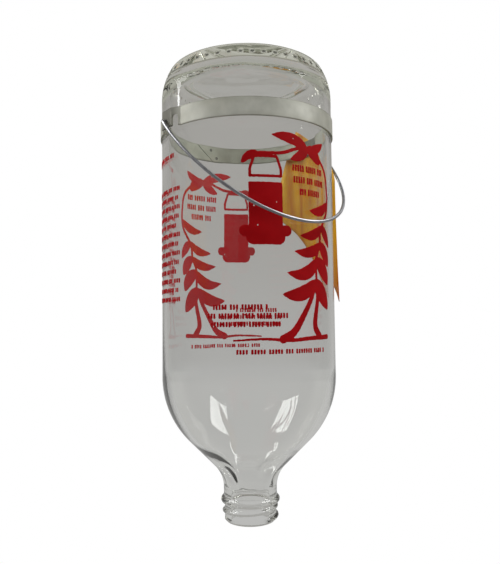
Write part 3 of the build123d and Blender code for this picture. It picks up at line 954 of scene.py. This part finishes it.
def dimple_shade_mask(tree, split):
    """Mask of painted shade, 1 inside the heel's dimples, from the place split into X, Y and Z."""
    angle = node(tree, "ShaderNodeMath", operation="ARCTAN2")
    turns = node(tree, "ShaderNodeMath", {1: DIMPLES}, operation="MULTIPLY")
    wave = node(tree, "ShaderNodeMath", operation="COSINE")
    across = node(tree, "ShaderNodeMapRange", {"From Min": 0.25, "From Max": 0.85})
    height = node(tree, "ShaderNodeMath", {1: DIMPLE_Z * MM}, operation="SUBTRACT")
    off = node(tree, "ShaderNodeMath", operation="ABSOLUTE")
    outer, inner = (reach * MM for reach in DIMPLE_BAND)
    upright = node(tree, "ShaderNodeMapRange", {"From Min": outer, "From Max": inner, "To Max": DIMPLE_DARK})
    join(tree, split, "Y", angle, 0)
    join(tree, split, "X", angle, 1)
    join(tree, angle, "Value", turns, 0)
    join(tree, turns, "Value", wave, 0)
    join(tree, wave, "Value", across, "Value")
    join(tree, split, "Z", height, 0)
    join(tree, height, "Value", off, 0)
    join(tree, off, "Value", upright, "Value")
    return product(tree, (across, "Result"), (upright, "Result"))


def height_ramp(tree, stops):
    """Colour ramp over the object's height; stops are (height in millimetres, colour)."""
    place = node(tree, "ShaderNodeTexCoord")
    split = node(tree, "ShaderNodeSeparateXYZ")
    low, high = stops[0][0], stops[-1][0]
    spread = node(tree, "ShaderNodeMapRange", {"From Min": low * MM, "From Max": high * MM})
    ramp = node(tree, "ShaderNodeValToRGB")
    join(tree, place, "Object", split, 0)
    join(tree, split, "Z", spread, "Value")
    join(tree, spread, "Result", ramp, "Fac")
    fill_ramp(ramp, [((height - low) / (high - low), colour) for height, colour in stops])
    return ramp


def tinted(tree, *colours):
    """Product of colours, each given as (node, output)."""
    result = colours[0]
    for colour in colours[1:]:
        mix = node(tree, "ShaderNodeMix", {0: 1.0}, data_type="RGBA", blend_type="MULTIPLY")
        join(tree, *result, mix, 6)
        join(tree, *colour, mix, 7)
        result = mix, 2
    return result


def galvanised():
    """Dull zinc coat, mottled, darker along its bottom and top edges, with painted shade over the pressed
    ears.
    """
    made, tree, shader = material("galvanised_strip")
    zinc = [(0.3, (0.40, 0.40, 0.345)), (0.7, (0.55, 0.55, 0.485))]
    dull = [(0.35, (0.82, 0.81, 0.78)), (0.6, (1, 1, 1))]
    coat, grain = noise_ramp(tree, 110.0, zinc, detail=6.0)
    stain, _ = noise_ramp(tree, 35.0, dull, stretch=(1, 1, 2.5), detail=2.0)
    # Darker along the bottom edge and, less, along the top edge
    edges = height_ramp(tree, (
        (BAND_BOTTOM - 0.1, (0.35, 0.34, 0.30)),
        (BAND_BOTTOM + 0.7, (1, 1, 1)),
        (BAND_TOP - 0.5, (1, 1, 1)),
        (BAND_TOP + 0.1, (0.6, 0.6, 0.55)),
    ))
    place = node(tree, "ShaderNodeTexCoord")
    split = node(tree, "ShaderNodeSeparateXYZ")
    sideways = node(tree, "ShaderNodeMath", operation="ABSOLUTE")
    # Painted shade over the pressed ears, where the hollows under them fall dark
    ear_low, ear_high = EAR_DARK
    near_ear = node(tree, "ShaderNodeMapRange", {"From Min": ear_low * MM, "From Max": ear_high * MM})
    ear_painted_shade = node(tree, "ShaderNodeMix", {6: (0.30, 0.29, 0.27, 1), 7: (1, 1, 1, 1)}, data_type="RGBA")
    join(tree, place, "Object", split, 0)
    join(tree, split, "Y", sideways, 0)
    join(tree, sideways, "Value", near_ear, "Value")
    join(tree, near_ear, "Result", ear_painted_shade, "Factor")
    toned = tinted(tree, (coat, "Color"), (stain, "Color"), (edges, "Color"), (ear_painted_shade, 2))
    join(tree, *toned, shader, "Base Color")
    shader.inputs["Metallic"].default_value = 0.35
    shader.inputs["Roughness"].default_value = 0.55
    bump(tree, shader, grain, "Fac", 0.15, 0.0002)
    return made


def steel(name, colour, roughness):
    """Drawn steel with fine scratches."""
    made, tree, shader = material(name)
    low = tuple(0.75 * c for c in colour)
    ramp, grain = noise_ramp(tree, 400.0, [(0.35, low), (0.65, colour)])
    join(tree, ramp, "Color", shader, "Base Color")
    shader.inputs["Metallic"].default_value = 0.9
    shader.inputs["Roughness"].default_value = roughness
    bump(tree, shader, grain, "Fac", 0.1, 0.0001)
    return made


def card():
    """Coated card, golden yellow with amber streaks along its length and a browned tip."""
    made, tree, shader = material("tag_card")
    amber = [(0.35, (0.58, 0.21, 0.003)), (0.5, (0.70, 0.35, 0.006)), (0.7, (0.80, 0.46, 0.010))]
    tip = ((112.0, (0.66, 0.30, 0.06)), (130.0, (0.95, 0.76, 0.5)), (160.0, (1, 1, 1)))
    streaks, grain = noise_ramp(tree, 170.0, amber, stretch=(1, 1, 0.08), detail=3.0)
    patches, _ = noise_ramp(tree, 45.0, [(0.4, (0.86, 0.80, 0.7)), (0.62, (1, 1, 1))])
    browned = height_ramp(tree, tip)
    dimple_shade_and_card_tone = tinted(tree, (streaks, "Color"), (patches, "Color"), (browned, "Color"))
    join(tree, *dimple_shade_and_card_tone, shader, "Base Color")
    shader.inputs["Roughness"].default_value = 0.5
    shader.inputs["Specular IOR Level"].default_value = 0.2
    bump(tree, shader, grain, "Fac", 0.08, 0.0002)
    return made


def enamel():
    """Fired red enamel, slightly uneven and letting some light through, with painted light, a faint red glow,
    on its inner face.
    """
    made, tree, shader = material("red_enamel")
    ramp, grain = noise_ramp(tree, 90.0, [(0.3, (0.34, 0.004, 0.007)), (0.7, (0.46, 0.008, 0.012))])
    join(tree, ramp, "Color", shader, "Base Color")
    shader.inputs["Roughness"].default_value = 0.5
    shader.inputs["Specular IOR Level"].default_value = 0.12
    # Painted light: the inner face of the print glows faintly red
    shader.inputs["Emission Color"].default_value = (1.0, 0.03, 0.05, 1)
    geometry = node(tree, "ShaderNodeNewGeometry")
    place = node(tree, "ShaderNodeTexCoord")
    outward = node(tree, "ShaderNodeVectorMath", operation="DOT_PRODUCT")
    inner_face = node(tree, "ShaderNodeMath", {1: 0.0}, operation="LESS_THAN")
    glow = node(tree, "ShaderNodeMath", {1: INNER_GLOW}, operation="MULTIPLY")
    join(tree, geometry, "True Normal", outward, 0)
    join(tree, place, "Object", outward, 1)
    join(tree, outward, "Value", inner_face, 0)
    join(tree, inner_face, "Value", glow, 0)
    join(tree, glow, "Value", shader, "Emission Strength")
    bump(tree, shader, grain, "Fac", 0.1, 0.0001)
    through_light = node(tree, "ShaderNodeBsdfTranslucent", {"Color": (0.62, 0.010, 0.016, 1)})
    mix = node(tree, "ShaderNodeMixShader", {"Fac": 0.5})
    join(tree, shader, "BSDF", mix, 1)
    join(tree, through_light, "BSDF", mix, 2)
    join(tree, mix, "Shader", tree.nodes["Material Output"], "Surface")
    return made


def dress(obj, made):
    """Gives an object one material in every slot."""
    if not obj.data.materials:
        obj.data.materials.append(made)
    for slot in obj.material_slots:
        slot.material = made


# ------------------------------------------------------------------ stage
def around(azimuth, r, z):
    """Point at an azimuth from the front, a radius and a height."""
    return Vector((r * sin(radians(azimuth)), -r * cos(radians(azimuth)), z))


def world():
    """White to the camera; to everything else a lit backdrop, dark sides and front, and a pale ceiling."""
    made = bpy.data.worlds.new("studio")
    bpy.context.scene.world = made
    made.use_nodes = True
    tree = made.node_tree
    forward = -around(CAMERA_AZIMUTH, 1.0, 0.0)
    place = node(tree, "ShaderNodeTexCoord")
    facing = node(tree, "ShaderNodeVectorMath", {1: forward}, operation="DOT_PRODUCT")
    soft = {"interpolation_type": "SMOOTHSTEP"}
    ahead = node(tree, "ShaderNodeMapRange", span(AHEAD), **soft)
    split = node(tree, "ShaderNodeSeparateXYZ")
    rise = node(tree, "ShaderNodeMapRange", span(BACK_RISE))
    overhead = node(tree, "ShaderNodeMapRange", span(OVERHEAD), **soft)
    behind = node(tree, "ShaderNodeMix", {6: BACK_LOW, 7: BACK_HIGH}, data_type="RGBA")
    rest = node(tree, "ShaderNodeMix", {6: SIDE_GREY, 7: CEILING}, data_type="RGBA")
    rest_or_mirrored = node(tree, "ShaderNodeMix", {7: MIRRORED}, data_type="RGBA")
    both = node(tree, "ShaderNodeMix", data_type="RGBA")
    path = node(tree, "ShaderNodeLightPath")
    mix = node(tree, "ShaderNodeMixShader")
    seen = node(tree, "ShaderNodeBackground", {"Color": (1, 1, 1, 1), "Strength": 1.0})
    other = node(tree, "ShaderNodeBackground")
    join(tree, place, "Generated", facing, 0)
    join(tree, place, "Generated", split, 0)
    join(tree, facing, "Value", ahead, "Value")
    join(tree, split, "Z", rise, "Value")
    join(tree, split, "Z", overhead, "Value")
    join(tree, rise, "Result", behind, "Factor")
    join(tree, overhead, "Result", rest, "Factor")
    join(tree, rest, 2, rest_or_mirrored, 6)
    join(tree, path, "Is Reflection Ray", rest_or_mirrored, "Factor")
    join(tree, rest_or_mirrored, 2, both, 6)
    join(tree, behind, 2, both, 7)
    join(tree, ahead, "Result", both, "Factor")
    join(tree, both, 2, other, "Color")
    join(tree, path, "Is Camera Ray", mix, "Fac")
    join(tree, other, "Background", mix, 1)
    join(tree, seen, "Background", mix, 2)
    join(tree, mix, "Shader", tree.nodes["World Output"], "Surface")


def floor():
    """Plain pale floor well below the hanging bottle. It glows instead of being lit: white to the camera, and
    to everything else paler near the bottle and darker in front.
    """
    sides = 96
    points = [(FLOOR_R * cos(tau * i / sides), FLOOR_R * sin(tau * i / sides), FLOOR_Z) for i in range(sides)]
    mesh = bpy.data.meshes.new("floor")
    mesh.from_pydata(points, [], [tuple(range(sides))])
    obj = bpy.data.objects.new("floor", mesh)
    bpy.context.scene.collection.objects.link(obj)
    made, tree, shader = material("pale_floor")
    path = node(tree, "ShaderNodeLightPath")
    seen = node(tree, "ShaderNodeEmission", {"Color": (1, 1, 1, 1)})
    # The floor's glow to everything but the camera: paler near the bottle, darker in front
    other = node(tree, "ShaderNodeEmission")
    mix = node(tree, "ShaderNodeMixShader")
    place = node(tree, "ShaderNodeTexCoord")
    away = node(tree, "ShaderNodeVectorMath", operation="LENGTH")
    spread = node(tree, "ShaderNodeMapRange", span((FLOOR_NEAR_R, FLOOR_R)))
    outward = node(tree, "ShaderNodeMix", {6: FLOOR_NEAR, 7: BACK_LOW}, data_type="RGBA")
    forward = -around(CAMERA_AZIMUTH, 1.0, 0.0)
    behind = node(tree, "ShaderNodeVectorMath", {1: forward}, operation="DOT_PRODUCT")
    front_fade = node(tree, "ShaderNodeMapRange", span(FLOOR_TURN), interpolation_type="SMOOTHSTEP")
    floor_glow = node(tree, "ShaderNodeMix", {6: FLOOR_FRONT}, data_type="RGBA")
    join(tree, place, "Object", away, 0)
    join(tree, away, "Value", spread, "Value")
    join(tree, spread, "Result", outward, "Factor")
    join(tree, place, "Object", behind, 0)
    join(tree, behind, "Value", front_fade, "Value")
    join(tree, front_fade, "Result", floor_glow, "Factor")
    join(tree, outward, 2, floor_glow, 7)
    join(tree, floor_glow, 2, other, "Color")
    join(tree, path, "Is Camera Ray", mix, "Fac")
    join(tree, other, "Emission", mix, 1)
    join(tree, seen, "Emission", mix, 2)
    join(tree, mix, "Shader", tree.nodes["Material Output"], "Surface")
    tree.nodes.remove(shader)
    obj.data.materials.append(made)


def soft_box(name, side, rise, width, height, roll, power):
    """A soft light at an angle to the side of the camera and an angle above the level."""
    light = bpy.data.lights.new(name, "AREA")
    light.shape = "RECTANGLE"
    light.size, light.size_y = width, height
    light.energy = power
    lamp = bpy.data.objects.new(name, light)
    bpy.context.scene.collection.objects.link(lamp)
    out = LIGHT_REACH * cos(radians(rise))
    lamp.location = LIGHT_AIM + around(CAMERA_AZIMUTH + side, out, LIGHT_REACH * sin(radians(rise)))
    aim = (LIGHT_AIM - lamp.location).to_track_quat("-Z", "Y").to_matrix()
    lamp.rotation_euler = (aim @ Matrix.Rotation(radians(roll), 3, "Z")).to_euler()
    lamp.visible_camera = False
    lamp.visible_transmission = False
    return lamp


def camera():
    """The camera, by its place, heading, pitch and roll."""
    eye = around(CAMERA_AZIMUTH, CAMERA_REACH * MM, CAMERA_Z * MM)
    heading = radians(-CAMERA_AZIMUTH + CAMERA_YAW)
    pitch = radians(CAMERA_PITCH)
    forward = Vector((sin(heading) * cos(pitch), cos(heading) * cos(pitch), sin(pitch)))
    level = Vector((cos(heading), -sin(heading), 0))
    rise = level.cross(forward)
    roll = radians(CAMERA_ROLL)
    right = cos(roll) * level + sin(roll) * rise
    up = cos(roll) * rise - sin(roll) * level
    lens = bpy.data.cameras.new("camera")
    lens.lens = CAMERA_LENS
    lens.sensor_width = SENSOR
    lens.clip_start = 0.01
    obj = bpy.data.objects.new("camera", lens)
    bpy.context.scene.collection.objects.link(obj)
    turn = Matrix((right, up, -forward)).transposed()
    obj.matrix_world = Matrix.Translation(eye) @ turn.to_4x4()
    bpy.context.scene.camera = obj


# ------------------------------------------------------------------ build
bottle = glass_bottle()
dress(bottle, glass())
dress(wire_bail(), steel("drawn_wire", (0.38, 0.38, 0.40), 0.38))
dress(frame["nodes"]["hanger_band"], galvanised())
dress(frame["nodes"]["band_rivets"], steel("rivet_steel", (0.20, 0.19, 0.18), 0.5))
dress(hang_tag(), card())
ink = enamel()
for piece in prints():
    dress(piece, ink)
camera()
world()
floor()
lamps = {name: soft_box(name, *settings) for name, settings in LAMPS.items()}
lamps["front_fill"].visible_glossy = False
bpy.context.scene.view_settings.view_transform = "Standard"
